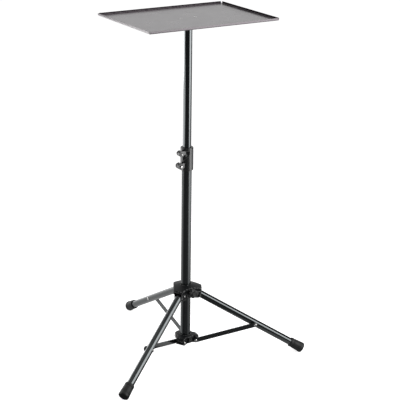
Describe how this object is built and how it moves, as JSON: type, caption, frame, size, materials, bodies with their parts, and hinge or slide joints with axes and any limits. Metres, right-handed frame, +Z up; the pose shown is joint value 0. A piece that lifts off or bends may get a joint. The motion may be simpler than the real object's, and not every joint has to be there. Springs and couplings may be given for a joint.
{
  "type": "folding tripod laptop stand",
  "caption": "Folding tripod stand with a telescopic clamped pole and a shallow rimmed sheet-metal tray for a laptop.",
  "frame": {"origin": "where the pole's axis meets the floor", "axes": "+Z up along the pole, +X along the tray's long side, +Y to the tray's back, where one leg points"},
  "size_m": [0.6388, 0.5574, 1.0357],
  "materials": {
    "tube_black": "gloss black powder coat",
    "tray_black": "satin black powder coat",
    "moulded_black": "moulded black nylon, satin",
    "satin_black": "smooth moulded black, satin",
    "knob_black": "moulded black, satin",
    "foot_rubber": "black rubber",
    "bright_steel": "zinc-plated",
    "dark_steel": "blackened"
  },
  "bodies": {
    "pole": {"lower_tube": "tube_black", "clamp_sleeve": "satin_black", "base_collar": "moulded_black", "collar_set_screw": "dark_steel", "collar_pin_back": "bright_steel", "collar_pin_left": "bright_steel", "collar_pin_right": "bright_steel"},
    "glide": {"upper_tube_glide": "knob_black"},
    "mast": {"upper_tube": "tube_black", "tray_bracket": "tray_black", "tray": "tray_black", "tray_rim_front": "tray_black", "tray_rim_back": "tray_black", "tray_rim_left": "tray_black", "tray_rim_right": "tray_black", "tray_screw_left": "bright_steel", "tray_screw_right": "bright_steel"},
    "hub": {"leg_hub": "moulded_black", "leg_pivot_pin_back": "bright_steel", "leg_pivot_pin_left": "bright_steel", "leg_pivot_pin_right": "bright_steel"},
    "star_knob": {"star_knob": "knob_black", "star_knob_bolt": "dark_steel"},
    "clamp_knob_upper": {"clamp_knob_upper": "knob_black", "clamp_bolt_upper": "bright_steel"},
    "clamp_knob_lower": {"clamp_knob_lower": "knob_black", "clamp_bolt_lower": "bright_steel"},
    "leg_back": {"leg_back": "tube_black", "foot_back": "foot_rubber", "leg_rivet_back": "bright_steel"},
    "strut_back": {"strut_back": "tube_black", "strut_rivet_back": "bright_steel"},
    "leg_left": {"leg_left": "tube_black", "foot_left": "foot_rubber", "leg_rivet_left": "bright_steel"},
    "strut_left": {"strut_left": "tube_black", "strut_rivet_left": "bright_steel"},
    "leg_right": {"leg_right": "tube_black", "foot_right": "foot_rubber", "leg_rivet_right": "bright_steel"},
    "strut_right": {"strut_right": "tube_black", "strut_rivet_right": "bright_steel"}
  },
  "joints": [
    {"name": "height_slide", "type": "slide", "parent": "pole", "child": "glide", "axis": [0, 0, 1], "range_m": [-0.34, 0.1]},
    {"name": "tray_swivel", "type": "hinge", "parent": "glide", "child": "mast", "pos_m": [0, 0, 0.6], "axis": [0, 0, 1], "range_deg": [-180, 180]},
    {"name": "tripod_fold", "type": "slide", "parent": "pole", "child": "hub", "axis": [0, 0, 1], "range_m": [0, 0.23617]},
    {"name": "leg_back_fold", "type": "hinge", "parent": "hub", "child": "leg_back", "pos_m": [0, 0.033, 0.20049], "axis": [-1, 0, 0], "range_deg": [0, 54.01]},
    {"name": "strut_back_fold", "type": "hinge", "parent": "pole", "child": "strut_back", "pos_m": [0, 0.0314, 0.046], "axis": [1, 0, 0], "range_deg": [0, 66.95]},
    {"name": "leg_left_fold", "type": "hinge", "parent": "hub", "child": "leg_left", "pos_m": [-0.02858, -0.0165, 0.20049], "axis": [0.5, -0.866, 0], "range_deg": [0, 54.01]},
    {"name": "strut_left_fold", "type": "hinge", "parent": "pole", "child": "strut_left", "pos_m": [-0.02719, -0.0157, 0.046], "axis": [-0.5, 0.866, 0], "range_deg": [0, 66.95]},
    {"name": "leg_right_fold", "type": "hinge", "parent": "hub", "child": "leg_right", "pos_m": [0.02858, -0.0165, 0.20049], "axis": [0.5, 0.866, 0], "range_deg": [0, 54.01]},
    {"name": "strut_right_fold", "type": "hinge", "parent": "pole", "child": "strut_right", "pos_m": [0.02719, -0.0157, 0.046], "axis": [-0.5, -0.866, 0], "range_deg": [0, 66.95]},
    {"name": "star_knob_turn", "type": "hinge", "parent": "hub", "child": "star_knob", "pos_m": [0, -0.041, 0.21099], "axis": [0, -1, 0], "continuous": true},
    {"name": "clamp_knob_upper_turn", "type": "hinge", "parent": "pole", "child": "clamp_knob_upper", "pos_m": [-0.0282, -0.009, 0.641], "axis": [0, 1, 0], "continuous": true},
    {"name": "clamp_knob_lower_turn", "type": "hinge", "parent": "pole", "child": "clamp_knob_lower", "pos_m": [-0.0292, -0.009, 0.6035], "axis": [0, 1, 0], "continuous": true}
  ],
  "couplings": [
    {"joint": "leg_back_fold", "follows": "tripod_fold", "rad_per_m": 3.9907},
    {"joint": "strut_back_fold", "follows": "tripod_fold", "rad_per_m": 4.9468},
    {"joint": "leg_left_fold", "follows": "tripod_fold", "rad_per_m": 3.9907},
    {"joint": "strut_left_fold", "follows": "tripod_fold", "rad_per_m": 4.9468},
    {"joint": "leg_right_fold", "follows": "tripod_fold", "rad_per_m": 3.9907},
    {"joint": "strut_right_fold", "follows": "tripod_fold", "rad_per_m": 4.9468}
  ]
}
